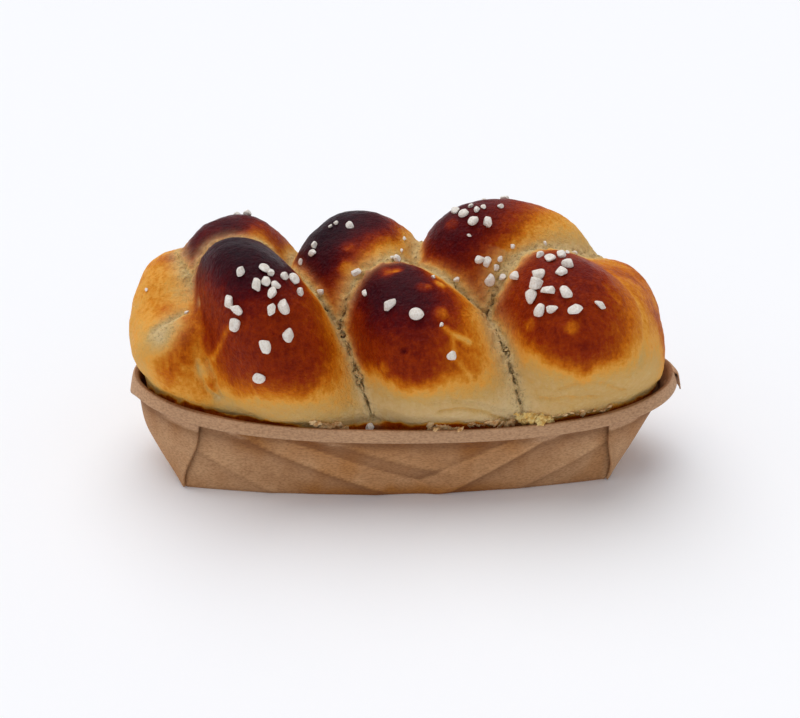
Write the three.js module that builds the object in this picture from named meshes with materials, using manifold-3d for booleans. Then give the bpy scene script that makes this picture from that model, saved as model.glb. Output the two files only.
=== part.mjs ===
// A small braided brioche loaf, baked and sold in its folded kraft paper loaf mould.
//
// Millimetres, +Z up. X runs along the loaf, -Y is its front, and the origin is the middle of the
// paper mould's flat underside. Two pieces: the loaf, with the sugar nibs that are baked into its
// crust, and the open paper mould that it stands in.

import * as THREE from 'three';
import { mergeVertices } from 'three/addons/utils/BufferGeometryUtils.js';
import Module from 'manifold-3d';

const wasm = await Module();
wasm.setup();

// The paper mould: a folded tray with a straight-sided base and an oval rim.
const rimHalfLength = 91;
const rimHalfWidth = 36;
const rimPower = 2.15;
const rimHeightMiddle = 28;
const rimHeightEnds = 31.8;
const baseHalfLength = 71.5;
const baseMiddleX = -2.5;
const baseHalfWidthMiddle = 30.6;
const baseCornerWidthLeft = 26.2;
const baseCornerWidthRight = 21.5;
const baseCornerRadius = 2;
const endBow = 1.2;
const endKneeLeft = 0.46;
const endKneeRight = 1.2;
const sideKnee = 1.2;
const kneeSharpness = 6;
const kneeFade = 33;
const paperWall = 1;
const baseEdge = 0.6;
const baseEdgeHeight = 0.8;
const bandHeight = 6.4;
const bandFlare = 1.5;
const bandLift = 1.1;
const gussetLift = 1.4;
const seamLift = 1.2;
const seamRight = { from: -3, to: 22, share: 1 };
const seamLeft = { from: 172, to: 202, share: 0.6 };
const gussetStart = 21;
const gussetEnd = 45;
const gussetEdge = 0.6;
const gussetFade = 60;
const endSteps = 4;
const gussetSteps = 4;
const sideSteps = 12;
const wallShares = [0.22, 0.48, 0.66];
const floorRing = 0.6;

// Room between the loaf and the paper: it touches nowhere, and has drawn away near the rim.
const floorGap = 0.4;
const wallGap = 0.9;
const rimGap = 1.6;

// Above the rim the loaf may bulge out: height over the rim, and how far outside the rim's outline.
const mouth = [[3, -0.2], [7, 2.6], [13, 6], [25, 20], [75, 40]];

// The bulges of the three strands that come to the surface, as squared-off ellipsoids. Each has its
// middle, its half sizes along, across and up, the bearing of its long axis, how far it lifts at
// that end, the squareness of its section, how far it leans to the left on the way up and how much
// it narrows upwards.
const bulges = {
  frontLeft: {
    at: [-42, -12, 41], half: [33.5, 22, 40.5], turn: 116, power: 2.3, lean: 0.25, narrow: 0.14,
  },
  frontMiddle: {
    at: [8.5, -12, 36], half: [33.5, 25.5, 36.6], turn: 120, power: 2.3, lean: 0.28, narrow: 0.14,
  },
  frontRight: {
    at: [55, -10, 38.5], half: [32, 25.3, 38], turn: 112, power: 2.3, lean: 0.15, narrow: 0.1,
  },
  backLeft: { at: [-55, 15, 43], half: [27, 21, 37], turn: 55, power: 2.2, lean: 0.1 },
  backMiddle: { at: [-14.5, 13.5, 44], half: [28, 24, 37], turn: 60, power: 2.3, lean: 0.03 },
  backRight: {
    at: [37.3, 16, 46], half: [35.5, 21, 39.5], turn: 20, lift: -12, power: 2.25, lean: 0.2,
  },
  leftUpper: { at: [-74.5, 9, 38], half: [19, 24, 32], power: 2.3 },
  leftLower: { at: [-73, -10, 31], half: [18.5, 20, 29], power: 2.3 },
  rightEnd: { at: [67.5, 6, 34], half: [21, 30, 32], power: 2.3 },
};
const crumb = { at: [-2, 0, 14], half: [86, 37.5, 20], power: 3.2 };

// Where the loaf draws in towards the mould's rim: from this level down, by this share of its width
// and of its length at the rim's level.
const drawInFrom = 60;
const drawInWidth = 0.22;
const drawInLength = 0.02;
const drawInPower = 1.5;
const bulgeColumns = 26;
const bulgeRows = 16;

// Where the sugar fell: on each bulge, heaps by bearing and height as seen from its middle, in
// degrees, with the number of nibs in the heap. The last ones of the back bulges lie behind.
const sugar = {
  frontLeft: [[153, 63, 1], [-158, 61, 2], [-174, 54, 4], [-136, 49, 3], [136, 43, 2], [178, 43, 2],
    [136, 34, 1], [180, 32, 1], [156, 27, 1], [145, 14, 1]],
  backMiddle: [[146, 70, 2], [-168, 74, 1], [154, 50, 2], [143, 39, 1], [-177, 30, 1], [-146, 41, 1],
    [-77, 53, 1], [-104, 45, 3], [52, 55, 2], [88, 40, 1]],
  frontMiddle: [[85, 57, 1], [127, 56, 1], [158, 53, 1], [-97, 61, 1], [172, 32, 1]],
  backRight: [[-166, 61, 6], [-131, 56, 1], [-137, 74, 1], [-120, 34, 4], [-115, 26, 2], [-107, 44, 1],
    [-122, 12, 2], [-138, 22, 1], [-79, 47, 1], [-66, 41, 1], [72, 58, 2], [105, 46, 2]],
  frontRight: [[7, 64, 1], [-24, 75, 1], [43, 79, 1], [146, 79, 2], [67, 53, 1], [99, 62, 2],
    [116, 56, 2], [146, 58, 1], [126, 46, 2], [155, 49, 1], [-177, 52, 1]],
  backLeft: [[38, 60, 2], [75, 47, 1]],
};
const nibRadius = 1.95;
const nibSizes = [0.8, 1.25];
const nibWidths = [0.7, 1];
const nibHeights = [0.6, 0.85];
const nibTilt = 0.8;
const nibSink = 0.25;
const heapSpread = 3.2;
const heapReach = [0.6, 1.2];
const steepest = 0.35;
const firstSeed = 41;

const radians = THREE.MathUtils.degToRad;
const lerp = THREE.MathUtils.lerp;

function signedPower(value, power) {
  return Math.sign(value) * Math.abs(value) ** power;
}

// A closed body's shared corners are merged, and triangles that close up to a line are dropped.
function solid(geometry) {
  geometry.deleteAttribute('normal');
  geometry.deleteAttribute('uv');
  const merged = mergeVertices(geometry, 1e-4);
  const corners = merged.attributes.position;
  const kept = [];
  let volume = 0;
  const [a, b, c] = [new THREE.Vector3(), new THREE.Vector3(), new THREE.Vector3()];
  for (let i = 0; i < merged.index.count; i += 3) {
    const [p, q, r] = [0, 1, 2].map((k) => merged.index.getX(i + k));
    if (p === q || q === r || r === p) continue;
    kept.push(p, q, r);
    a.fromBufferAttribute(corners, p);
    b.fromBufferAttribute(corners, q);
    c.fromBufferAttribute(corners, r);
    volume += a.dot(b.cross(c)) / 6;
  }
  if (volume < 0) kept.reverse();
  return new wasm.Manifold(new wasm.Mesh({
    numProp: 3,
    vertProperties: new Float32Array(corners.array),
    triVerts: new Uint32Array(kept),
  }));
}

function geometryOf(body) {
  const mesh = body.getMesh();
  const geometry = new THREE.BufferGeometry();
  geometry.setAttribute('position', new THREE.BufferAttribute(mesh.vertProperties, 3));
  geometry.setIndex(new THREE.BufferAttribute(mesh.triVerts, 1));
  return geometry;
}

function nodeMesh(name, body, look) {
  const mesh = new THREE.Mesh(geometryOf(body), new THREE.MeshStandardMaterial(look));
  mesh.name = name;
  return mesh;
}

// The rim's outline, at an angle round it.
function rimPoint(angle) {
  const x = rimHalfLength * signedPower(Math.cos(angle), 2 / rimPower);
  const y = rimHalfWidth * signedPower(Math.sin(angle), 2 / rimPower);
  return new THREE.Vector2(x, y);
}

// The base's outline at the same angle: nearly straight ends up to the gusset, all of the gusset
// folded down to the small round corner, and long sides that bow out in the middle.
function basePoint(angle) {
  const quarter = Math.acos(Math.abs(Math.cos(angle)));
  const degrees = THREE.MathUtils.radToDeg(quarter);
  const right = Math.cos(angle) >= 0 ? 1 : -1;
  const back = Math.sin(angle) >= 0 ? 1 : -1;
  const width = right > 0 ? baseCornerWidthRight : baseCornerWidthLeft;
  const r = baseCornerRadius;
  const spot = new THREE.Vector2();
  if (degrees < gussetStart) {
    const share = degrees / gussetStart;
    spot.set(baseHalfLength + endBow * (1 - share * share), (width - r) * share);
  } else if (degrees < gussetEnd) {
    const turn = (Math.PI / 2) * (degrees - gussetStart) / (gussetEnd - gussetStart);
    spot.set(baseHalfLength - r + r * Math.cos(turn), width - r + r * Math.sin(turn));
  } else {
    const share = (90 - degrees) / (90 - gussetEnd);
    const middle = (baseCornerWidthLeft + baseCornerWidthRight) / 2;
    const edge = lerp(middle, width, share);
    spot.set((baseHalfLength - r) * share, edge + (baseHalfWidthMiddle - middle) * (1 - share * share));
  }
  return new THREE.Vector2(right * spot.x + baseMiddleX, back * spot.y);
}

function outwardAt(outline, angle) {
  const step = 0.004; // radians
  const along = outline(angle + step).sub(outline(angle - step));
  return new THREE.Vector2(along.y, -along.x).normalize();
}

function rimHeight(x) {
  return rimHeightMiddle + (rimHeightEnds - rimHeightMiddle) * (Math.abs(x) / rimHalfLength) ** 4;
}

// How far round from the nearest end an angle lies, in degrees from 0 to 90.
function fromEnd(angle) {
  return THREE.MathUtils.radToDeg(Math.acos(Math.min(1, Math.abs(Math.cos(angle)))));
}

// A point of the wall: at an angle, at a height below or above the rim, and so far outside the paper.
// The wall slants out from the base and bends upright at its knee, which is a share of its height.
// With a knee above the rim it only slants. What hangs at the ends keeps to the rim's outline.
function wallPoint(angle, height, outside, hangs = 0) {
  const rim = rimPoint(angle);
  const base = basePoint(angle);
  const top = rimHeight(rim.x);
  const share = Math.min(1, height(top) / top);
  const side = THREE.MathUtils.smoothstep(fromEnd(angle), kneeFade, gussetFade);
  const knee = lerp(rim.x > 0 ? endKneeRight : endKneeLeft, sideKnee, side) ** kneeSharpness;
  const slant = share * ((1 + knee) / (share ** kneeSharpness + knee)) ** (1 / kneeSharpness);
  const reach = lerp(slant, 1, hangs * (1 - side));
  const normal = outwardAt(basePoint, angle).lerp(outwardAt(rimPoint, angle), reach).normalize();
  const spot = base.lerp(rim, reach).addScaledVector(normal, outside(angle));
  return new THREE.Vector3(spot.x, spot.y, height(top));
}

// The angles of the mould's folds and of the steps between them, all the way round.
function stationAngles() {
  const quarter = [];
  for (let i = 0; i < endSteps; i += 1) quarter.push(gussetStart * i / endSteps);
  const span = gussetEnd - gussetStart;
  for (let i = 0; i <= gussetSteps; i += 1) quarter.push(gussetStart + span * i / gussetSteps);
  const rest = 90 - gussetEnd - gussetEdge;
  for (let i = 0; i <= sideSteps; i += 1) quarter.push(gussetEnd + gussetEdge + rest * i / sideSteps);
  const angles = [];
  for (const degrees of quarter) angles.push(degrees);
  for (const degrees of quarter.slice(0, -1).reverse()) angles.push(180 - degrees);
  for (const degrees of quarter.slice(1)) angles.push(180 + degrees);
  for (const degrees of quarter.slice(1, -1).reverse()) angles.push(360 - degrees);
  return angles.map(radians);
}

// A closed body of rings that follow the mould's outline. The first and last rows are on the axis.
// A row is a point of the wall, or of a flat level at a share of the way out to the wall.
function ringBody(rows) {
  const angles = stationAngles();
  const profile = rows.map((row, k) => new THREE.Vector2(row.share === 0 ? 0 : 1, k));
  const geometry = new THREE.LatheGeometry(profile, angles.length);
  const position = geometry.attributes.position;
  for (let i = 0; i <= angles.length; i += 1) {
    const angle = angles[i % angles.length];
    rows.forEach((row, k) => {
      const spot = wallPoint(angle, row.height, row.outside, row.hangs);
      if (row.share !== undefined) {
        spot.x = lerp(baseMiddleX, spot.x, row.share);
        spot.y *= row.share;
      }
      position.setXYZ(i * rows.length + k, spot.x, spot.y, spot.z);
    });
  }
  return solid(geometry);
}

const above = (millimetres) => () => millimetres;
const fromRim = (millimetres) => (top) => top + millimetres;
const out = (millimetres) => () => millimetres;
const wallRows = (outside) => wallShares.map((share) => ({ height: (top) => share * top, outside }));

// The corner gussets lie folded against the long sides, so the paper is thicker over them.
function gussetOut(angle) {
  const degrees = fromEnd(angle);
  if (degrees > gussetEnd + gussetEdge / 2) return 0;
  return gussetLift * THREE.MathUtils.smoothstep(degrees, gussetStart, gussetEnd);
}

// The rim's folded band is lapped over itself at both ends.
function seamOut(angle) {
  const degrees = THREE.MathUtils.euclideanModulo(THREE.MathUtils.radToDeg(angle) + 90, 360) - 90;
  const laps = [seamRight, seamLeft].filter(({ from, to }) => degrees > from && degrees < to);
  return seamLift * laps.reduce((sum, lap) => sum + lap.share, 0);
}

function bandOut(millimetres) {
  return (angle) => millimetres + Math.max(gussetOut(angle) / 2, seamOut(angle));
}

function paperMould() {
  const flared = bandFlare + bandLift;
  return ringBody([
    { share: 0, height: above(0), outside: out(0) },
    { share: floorRing, height: above(0), outside: out(0) },
    { height: above(0), outside: out(-baseEdge) },
    { height: above(baseEdgeHeight), outside: out(0) },
    ...wallRows(gussetOut),
    { height: fromRim(-bandHeight), outside: gussetOut },
    { height: fromRim(-bandHeight), outside: bandOut(flared), hangs: 1 },
    { height: fromRim(-bandHeight / 2), outside: bandOut(lerp(bandLift, flared, 0.8)), hangs: 1 },
    { height: fromRim(-0.5), outside: bandOut(bandLift), hangs: 1 },
    { height: fromRim(0), outside: out(0.3) },
    { height: fromRim(-0.4), outside: out(-paperWall) },
    ...wallRows(out(-paperWall)).reverse(),
    { height: above(paperWall), outside: out(-paperWall - baseEdge) },
    { share: floorRing, height: above(paperWall), outside: out(-paperWall) },
    { share: 0, height: above(paperWall), outside: out(0) },
  ]);
}

// All the room that the loaf may fill: the inside of the mould, opening wide above its rim.
function loafRoom() {
  const wall = -paperWall - wallGap;
  const rim = -paperWall - rimGap;
  return ringBody([
    { share: 0, height: above(paperWall + floorGap), outside: out(wall) },
    { share: floorRing, height: above(paperWall + floorGap), outside: out(wall) },
    { height: above(paperWall + floorGap), outside: out(wall - 0.5) },
    ...wallRows(out(wall)),
    { height: fromRim(-3), outside: out(rim) },
    { height: fromRim(0.5), outside: out(rim) },
    ...mouth.map(([over, beyond]) => ({ height: fromRim(over), outside: out(beyond) })),
    { share: 0, height: fromRim(mouth.at(-1)[0]), outside: out(0) },
  ]);
}

// A point on a bulge, in the direction of a unit vector in the bulge's own frame.
function bulgePoint({ at, half, turn = 0, lift = 0, power, lean = 0, narrow = 0 }, direction) {
  const axes = ['x', 'y', 'z'];
  const norm = axes.reduce((sum, axis) => sum + Math.abs(direction[axis]) ** power, 0) ** (1 / power);
  const spot = direction.clone().divideScalar(norm);
  const waist = 1 - narrow * spot.z;
  spot.set(spot.x * half[0] * waist, spot.y * half[1] * waist, spot.z * half[2]);
  spot.applyAxisAngle(new THREE.Vector3(0, 1, 0), -radians(lift));
  spot.applyAxisAngle(new THREE.Vector3(0, 0, 1), radians(turn));
  spot.x -= lean * spot.z;
  spot.add(new THREE.Vector3(...at));
  const under = THREE.MathUtils.clamp((drawInFrom - spot.z) / (drawInFrom - rimHeightMiddle), 0, 1);
  spot.x *= 1 - drawInLength * under ** drawInPower;
  spot.y *= 1 - drawInWidth * under ** drawInPower;
  return spot;
}

function bulgeBody(bulge) {
  const geometry = new THREE.SphereGeometry(1, bulgeColumns, bulgeRows);
  geometry.rotateX(Math.PI / 2);
  const position = geometry.attributes.position;
  const direction = new THREE.Vector3();
  for (let i = 0; i < position.count; i += 1) {
    direction.fromBufferAttribute(position, i).normalize();
    const spot = bulgePoint(bulge, direction);
    position.setXYZ(i, spot.x, spot.y, spot.z);
  }
  return solid(geometry);
}

// A repeatable stream of numbers from 0 to 1.
function dice(seed) {
  let state = seed;
  return () => {
    state = (Math.imul(state, 1664525) + 1013904223) >>> 0;
    return state / 4294967296;
  };
}

// An uneven lump of sugar, pressed into a bulge where it is seen at a bearing and a height.
function nib(bulge, bearing, height, roll) {
  const [b, h] = [radians(bearing), radians(height)];
  const towards = new THREE.Vector3(Math.cos(h) * Math.cos(b), Math.cos(h) * Math.sin(b), Math.sin(h));
  const spot = bulgePoint(bulge, towards);
  const size = nibRadius * lerp(...nibSizes, roll());
  const geometry = new THREE.IcosahedronGeometry(size, 0);
  geometry.scale(1, lerp(...nibWidths, roll()), lerp(...nibHeights, roll()));
  geometry.rotateZ(2 * Math.PI * roll());
  geometry.rotateX(nibTilt * (roll() - 0.5));
  const outwards = spot.clone().sub(new THREE.Vector3(...bulge.at)).normalize();
  spot.addScaledVector(outwards, -size * nibSink);
  geometry.translate(spot.x, spot.y, spot.z);
  return solid(geometry);
}

function sugarNibs() {
  const nibs = [];
  const roll = dice(firstSeed);
  for (const [name, heaps] of Object.entries(sugar)) {
    for (const [bearing, height, count] of heaps) {
      const spread = count > 1 ? heapSpread * Math.sqrt(count) : 0;
      const start = 2 * Math.PI * roll();
      for (let i = 0; i < count; i += 1) {
        const turn = start + 2 * Math.PI * (i + 0.5 * roll()) / count;
        const reach = spread * lerp(...heapReach, roll());
        const wide = Math.max(steepest, Math.cos(radians(height)));
        const there = bearing + reach * Math.cos(turn) / wide;
        nibs.push(nib(bulges[name], there, height + reach * Math.sin(turn), roll));
      }
    }
  }
  return nibs;
}

function loaf() {
  const strands = [...Object.values(bulges), crumb].map(bulgeBody);
  const braid = wasm.Manifold.union(strands).intersect(loafRoom());
  return wasm.Manifold.union([braid, ...sugarNibs()]);
}

const part = new THREE.Group();
part.add(nodeMesh('loaf', loaf(), { color: 0xa8602a, roughness: 0.45, metalness: 0 }));
part.add(nodeMesh('paper_case', paperMould(), { color: 0xb08a66, roughness: 0.85, metalness: 0 }));

export default part;
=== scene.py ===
# %% [markdown]
# # A braided loaf in its paper mould
#
# A small brioche, plaited from three strands, glazed with egg, strewn with pearl sugar and baked in
# a folded kraft paper mould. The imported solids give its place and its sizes. Here each of them is
# made again as the real thing: dough that swelled in the oven, sugar nibs, crumbs and folded paper.
#
# Sizes are millimetres until a piece is finished, when it is turned to Blender's metres.

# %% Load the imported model
import math

import bmesh
import bpy
import numpy as np
from mathutils import Euler, Matrix, Vector, noise
from mathutils.bvhtree import BVHTree


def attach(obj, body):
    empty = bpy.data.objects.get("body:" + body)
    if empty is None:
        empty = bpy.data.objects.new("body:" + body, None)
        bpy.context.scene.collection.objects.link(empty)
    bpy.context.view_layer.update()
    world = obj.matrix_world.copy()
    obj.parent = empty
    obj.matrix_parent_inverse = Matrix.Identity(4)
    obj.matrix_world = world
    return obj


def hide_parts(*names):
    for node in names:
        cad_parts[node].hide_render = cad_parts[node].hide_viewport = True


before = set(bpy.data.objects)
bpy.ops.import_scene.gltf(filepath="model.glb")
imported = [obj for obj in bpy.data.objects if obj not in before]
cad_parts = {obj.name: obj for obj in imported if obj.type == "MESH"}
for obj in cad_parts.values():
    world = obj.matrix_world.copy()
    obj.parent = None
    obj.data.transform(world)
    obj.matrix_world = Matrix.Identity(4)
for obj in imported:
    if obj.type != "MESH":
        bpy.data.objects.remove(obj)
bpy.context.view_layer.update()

MM = 0.001

# %% [markdown]
# ## The camera
#
# The photograph was taken from a little above the loaf's front. The camera comes first, because
# some marks on the crust are named below by where they are seen in the picture, and a ray from the
# camera finds the place on the crust that carries them.

# %% Camera
PICTURE_WIDTH = 800
PICTURE_HEIGHT = 718
SENSOR = 36.0
LENS = 51.75
CAMERA_PLACE = Vector((-1.4, -349.3, 213.0))
CAMERA_TARGET = Vector((-1.4, 0.0, 35.0))

camera = bpy.data.objects.new("camera", bpy.data.cameras.new("camera"))
camera.data.lens = LENS
camera.data.sensor_width = SENSOR
camera.location = CAMERA_PLACE * MM
camera.rotation_euler = (CAMERA_TARGET - CAMERA_PLACE).to_track_quat("-Z", "Y").to_euler()
bpy.context.scene.collection.objects.link(camera)
bpy.context.scene.camera = camera


def sight(place):
    """The direction, as a unit vector, in which the camera sees a place in the picture."""
    pixels_per_mm = PICTURE_WIDTH / SENSOR
    across = (place[0] - PICTURE_WIDTH / 2) / pixels_per_mm
    down = (place[1] - PICTURE_HEIGHT / 2) / pixels_per_mm
    return (camera.rotation_euler.to_matrix() @ Vector((across, -down, -LENS))).normalized()


print("the camera stands", round((CAMERA_TARGET - CAMERA_PLACE).length), "mm from the loaf")

# %% [markdown]
# ## The sizes
#
# The mould is a tray with a straight-sided base and an oval rim. The loaf is a row of bulges, where
# the three strands come to the surface. These are the sizes that the solids were made from.

# %% Sizes of the mould
RIM_HALF = np.array([91.0, 36.0])
RIM_POWER = 2.15
RIM_HEIGHT_MIDDLE = 28.0
RIM_HEIGHT_ENDS = 31.8
RIM_SWEEP = 4
BASE_HALF_LENGTH = 71.5
BASE_MIDDLE_X = -2.5
BASE_HALF_WIDTH = 30.6
CORNER_WIDTH_LEFT = 26.2
CORNER_WIDTH_RIGHT = 21.5
CORNER_RADIUS = 2.0
END_BOW = 1.2
END_KNEE_LEFT = 0.46
END_KNEE_RIGHT = 1.2
SIDE_KNEE = 1.2
KNEE_SHARPNESS = 6
KNEE_FADE = 33.0
GUSSET_START = 21.0
GUSSET_END = 45.0
GUSSET_FADE = 60.0
BAND_HEIGHT = 6.4
PAPER = 0.45

# %% Sizes of the bulges
BULGES = {
    "front left": dict(
        at=(-42, -12, 41), half=(33.5, 22, 40.5), turn=116, power=2.3, lean=0.25, narrow=0.14,
    ),
    "front middle": dict(
        at=(8.5, -12, 36), half=(33.5, 25.5, 36.6), turn=120, power=2.3, lean=0.28, narrow=0.14,
    ),
    "front right": dict(
        at=(55, -10, 38.5), half=(32, 25.3, 38), turn=112, power=2.3, lean=0.15, narrow=0.1,
    ),
    "back left": dict(at=(-55, 15, 43), half=(27, 21, 37), turn=55, power=2.2, lean=0.1),
    "back middle": dict(at=(-14.5, 13.5, 44), half=(28, 24, 37), turn=60, power=2.3, lean=0.03),
    "back right": dict(at=(37.3, 16, 46), half=(35.5, 21, 39.5), turn=20, lift=-12, power=2.25, lean=0.2),
    "left upper": dict(at=(-74.5, 9, 38), half=(19, 24, 32), power=2.3),
    "left lower": dict(at=(-73, -10, 31), half=(18.5, 20, 29), power=2.3),
    "right end": dict(at=(67.5, 6, 34), half=(21, 30, 32), power=2.3),
    "crumb": dict(at=(-2, 0, 14), half=(86, 37.5, 20), power=3.2),
}
DRAW_IN_FROM = 60.0
DRAW_IN_WIDTH = 0.22
DRAW_IN_LENGTH = 0.02
DRAW_IN_POWER = 1.5

# %% [markdown]
# ## The mould's outline
#
# Every level of the mould is an outline between two others: the oval of the rim and the base with
# its four corners. One function gives any point of the wall by its angle round the mould, its height
# and how far outside the paper it lies, so the paper, its rim and its folds all follow one shape,
# and so does the dough that filled it.


# %% Outlines of the rim and the base
SMALL_TURN = 0.004


def blend(low, high, share):
    """The value at a share of the way from low to high."""
    return low + (high - low) * share


def smooth(value, low, high):
    """0 below low, 1 above high, with a soft start and end between them."""
    share = np.clip((value - low) / (high - low), 0, 1)
    return share * share * (3 - 2 * share)


def rim_outline(angle):
    cos, sin = np.cos(angle), np.sin(angle)
    x = RIM_HALF[0] * np.sign(cos) * np.abs(cos) ** (2 / RIM_POWER)
    y = RIM_HALF[1] * np.sign(sin) * np.abs(sin) ** (2 / RIM_POWER)
    return np.stack([x, y], -1)


def from_end(angle):
    """How far round from the nearest end of the mould, from 0 to 90 degrees."""
    return np.degrees(np.arccos(np.clip(np.abs(np.cos(angle)), 0, 1)))


def base_outline(angle):
    degrees = from_end(angle)
    width = np.where(np.cos(angle) >= 0, CORNER_WIDTH_RIGHT, CORNER_WIDTH_LEFT)
    share = degrees / GUSSET_START
    end = np.stack([BASE_HALF_LENGTH + END_BOW * (1 - share**2), (width - CORNER_RADIUS) * share], -1)
    turn = np.radians(90) * (degrees - GUSSET_START) / (GUSSET_END - GUSSET_START)
    corner_x = BASE_HALF_LENGTH - CORNER_RADIUS + CORNER_RADIUS * np.cos(turn)
    corner = np.stack([corner_x, width - CORNER_RADIUS + CORNER_RADIUS * np.sin(turn)], -1)
    share = (90 - degrees) / (90 - GUSSET_END)
    middle = (CORNER_WIDTH_LEFT + CORNER_WIDTH_RIGHT) / 2
    bow = (BASE_HALF_WIDTH - middle) * (1 - share**2)
    side = np.stack([(BASE_HALF_LENGTH - CORNER_RADIUS) * share, blend(middle, width, share) + bow], -1)
    spot = np.where((degrees < GUSSET_START)[..., None], end, corner)
    spot = np.where((degrees < GUSSET_END)[..., None], spot, side)
    signs = np.stack([np.where(np.cos(angle) >= 0, 1, -1), np.where(np.sin(angle) >= 0, 1, -1)], -1)
    return spot * signs + np.array([BASE_MIDDLE_X, 0])


def outward(outline, angle):
    """The direction straight out from an outline, at an angle."""
    step = SMALL_TURN
    along = outline(angle + step) - outline(angle - step)
    across = np.stack([along[..., 1], -along[..., 0]], -1)
    return across / np.linalg.norm(across, axis=-1, keepdims=True)


def rim_height(x):
    rise = RIM_HEIGHT_ENDS - RIM_HEIGHT_MIDDLE
    return RIM_HEIGHT_MIDDLE + rise * (np.abs(x) / RIM_HALF[0]) ** RIM_SWEEP


def wall_spot(angle, height, outside, hangs=0):
    """Points of the wall: at an angle, at a height, and so far outside the paper.

    What hangs, from 0 to 1, keeps to the rim's outline at the mould's ends."""
    rim, base = rim_outline(angle), base_outline(angle)
    top = rim_height(rim[..., 0])
    share = np.clip(height / top, 0, 1)
    side = smooth(from_end(angle), KNEE_FADE, GUSSET_FADE)
    end_knee = np.where(rim[..., 0] > 0, END_KNEE_RIGHT, END_KNEE_LEFT)
    knee = blend(end_knee, SIDE_KNEE, side) ** KNEE_SHARPNESS
    slant = share * ((1 + knee) / (share**KNEE_SHARPNESS + knee)) ** (1 / KNEE_SHARPNESS)
    reach = blend(slant, 1, hangs * (1 - side))
    normal = blend(outward(base_outline, angle), outward(rim_outline, angle), reach[..., None])
    normal /= np.linalg.norm(normal, axis=-1, keepdims=True)
    flat = blend(base, rim, reach[..., None]) + normal * np.asarray(outside)[..., None]
    return np.concatenate([flat, np.broadcast_to(height, flat.shape[:-1])[..., None]], -1)


widest = wall_spot(np.radians([0.0, 180.0]), np.array([RIM_HEIGHT_ENDS] * 2), np.zeros(2))
print("the rim is", round(float(widest[0, 0] - widest[1, 0])), "mm long")

# %% [markdown]
# ## Making a piece from a bmesh
#
# Each piece is built in a bmesh, in millimetres, and ends as an object at the origin with its place
# in its mesh, riding on the frame's body. Small helpers do that and move many corners at once.


# %% Helpers for meshes
def corners_of(bm):
    return np.array([v.co for v in bm.verts], float).reshape(-1, 3)


def move_corners(bm, places):
    for vertex, place in zip(bm.verts, places):
        vertex.co = place


def finish_piece(name, bm, material, nodes=()):
    """Turns a bmesh in millimetres into a piece of the scene, smooth shaded, in metres."""
    bmesh.ops.scale(bm, vec=(MM, MM, MM), verts=bm.verts)
    mesh = bpy.data.meshes.new(name)
    bm.to_mesh(mesh)
    bm.free()
    return show_mesh(name, mesh, material, nodes)


def show_mesh(name, mesh, material, nodes=()):
    mesh.materials.clear()
    mesh.materials.append(material)
    mesh.polygons.foreach_set("use_smooth", [True] * len(mesh.polygons))
    piece = bpy.data.objects.new(name, mesh)
    bpy.context.scene.collection.objects.link(piece)
    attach(piece, "root")
    if nodes:
        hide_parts(*nodes)
    mesh.calc_loop_triangles()
    print(name, "has", len(mesh.loop_triangles), "triangles")
    return piece


# %% [markdown]
# ## Colours and nodes
#
# Colours are picked as screen colours, in hex, and the shaders work in linear light, so one function
# turns them. Another adds a node, sets it up and links it, and each kind of node that is used again
# and again has a short function of its own.


# %% Helpers for materials
def linear(hex_colour):
    """An sRGB hex colour as linear red, green, blue and alpha."""
    channels = [int(hex_colour[i : i + 2], 16) / 255 for i in (1, 3, 5)]
    turned = [c / 12.92 if c <= 0.04045 else ((c + 0.055) / 1.055) ** 2.4 for c in channels]
    return (*turned, 1.0)


def set_inputs(material, node, **inputs):
    """Sets inputs, named by name or by _number, to values, or links them to sockets."""
    for name, value in inputs.items():
        key = int(name[1:]) if name[0] == "_" else name.replace("_", " ")
        if isinstance(value, bpy.types.NodeSocket):
            material.node_tree.links.new(value, node.inputs[key])
        else:
            node.inputs[key].default_value = value


def add_node(material, kind, settings=None, **inputs):
    """Adds a shader node with its settings and its inputs."""
    node = material.node_tree.nodes.new(kind)
    for name, value in (settings or {}).items():
        setattr(node, name, value)
    set_inputs(material, node, **inputs)
    return node


def attributes_of(material, *names):
    kind = "ShaderNodeAttribute"
    return [add_node(material, kind, {"attribute_name": name}).outputs["Fac"] for name in names]


def noise_of(material, place, scale, detail, roughness=0.5):
    return add_node(
        material, "ShaderNodeTexNoise", Vector=place, Scale=scale, Detail=detail, Roughness=roughness
    ).outputs["Fac"]


def drawn_out(material, place, sizes):
    """Coordinates whose unit is this many millimetres along X, Y and Z."""
    stretch = tuple(per_metre(size) for size in sizes)
    return add_node(material, "ShaderNodeMapping", Vector=place, Scale=stretch).outputs["Vector"]


def remap(material, value, before, after):
    """Turns one range of a value into another, and holds the value within it."""
    return add_node(
        material, "ShaderNodeMapRange", Value=value,
        From_Min=before[0], From_Max=before[1], To_Min=after[0], To_Max=after[1],
    ).outputs["Result"]


def maths(material, operation, first, second):
    node = add_node(material, "ShaderNodeMath", {"operation": operation}, _0=first, _1=second)
    return node.outputs["Value"]


def mix_colours(material, share, first, second, how="MIX"):
    settings = {"data_type": "RGBA", "blend_type": how}
    return add_node(material, "ShaderNodeMix", settings, Factor=share, _6=first, _7=second).outputs[2]


def ramp_of(material, value, stops):
    """The colours of a ramp, with stops as pairs of place and hex colour."""
    node = add_node(material, "ShaderNodeValToRGB", Fac=value)
    elements = node.color_ramp.elements
    while len(elements) < len(stops):
        elements.new(1.0)
    for element, (place, colour) in zip(elements, stops):
        element.position = place
        element.color = linear(colour)
    return node.outputs["Color"]


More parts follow.
